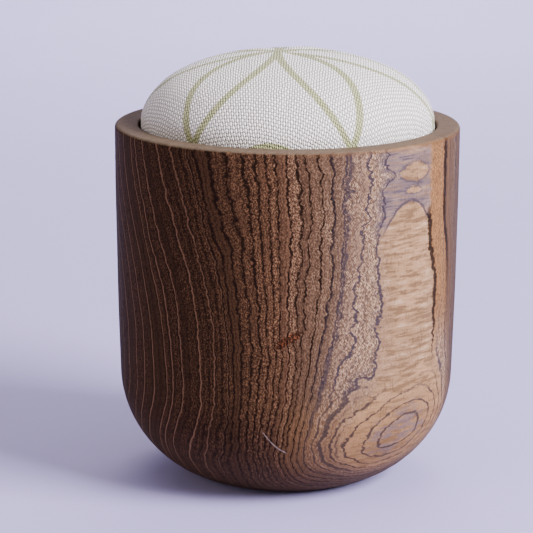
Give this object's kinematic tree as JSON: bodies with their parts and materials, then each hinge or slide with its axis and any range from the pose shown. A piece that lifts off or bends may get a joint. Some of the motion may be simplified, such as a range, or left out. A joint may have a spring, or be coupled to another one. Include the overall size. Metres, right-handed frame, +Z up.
{
  "type": "pin cushion",
  "caption": "Turned wooden cup with a domed, cloth covered pin cushion that lifts out of its mouth to open a storage well.",
  "frame": {"origin": "centre of the felt foot, on the surface that the cup stands on", "axes": "+Z up along the turning axis, and the way the cushion lifts; -Y towards the viewer, +X to the right"},
  "size_m": [0.08, 0.08, 0.1],
  "materials": {
    "striped_hardwood": "satin oil and wax",
    "foot_felt": "matt wool felt",
    "plywood": "raw birch plywood",
    "stuffing": "packed wool fibre",
    "wadding": "lofty cotton wadding",
    "printed_linen": "plain weave, printed with green petals",
    "thread": "waxed linen thread",
    "underside_felt": "matt wool felt"
  },
  "bodies": {
    "cup": {"turned_cup": "striped_hardwood", "foot_felt": "foot_felt"},
    "cushion": {"base_board": "plywood", "stuffing": "stuffing", "wadding": "wadding", "cushion_cover": "printed_linen", "gathering_thread": "thread", "underside_felt": "underside_felt"}
  },
  "joints": [
    {"name": "cushion_lift", "type": "slide", "parent": "cup", "child": "cushion", "axis": [0, 0, 1], "range_m": [0, 0.06]}
  ]
}
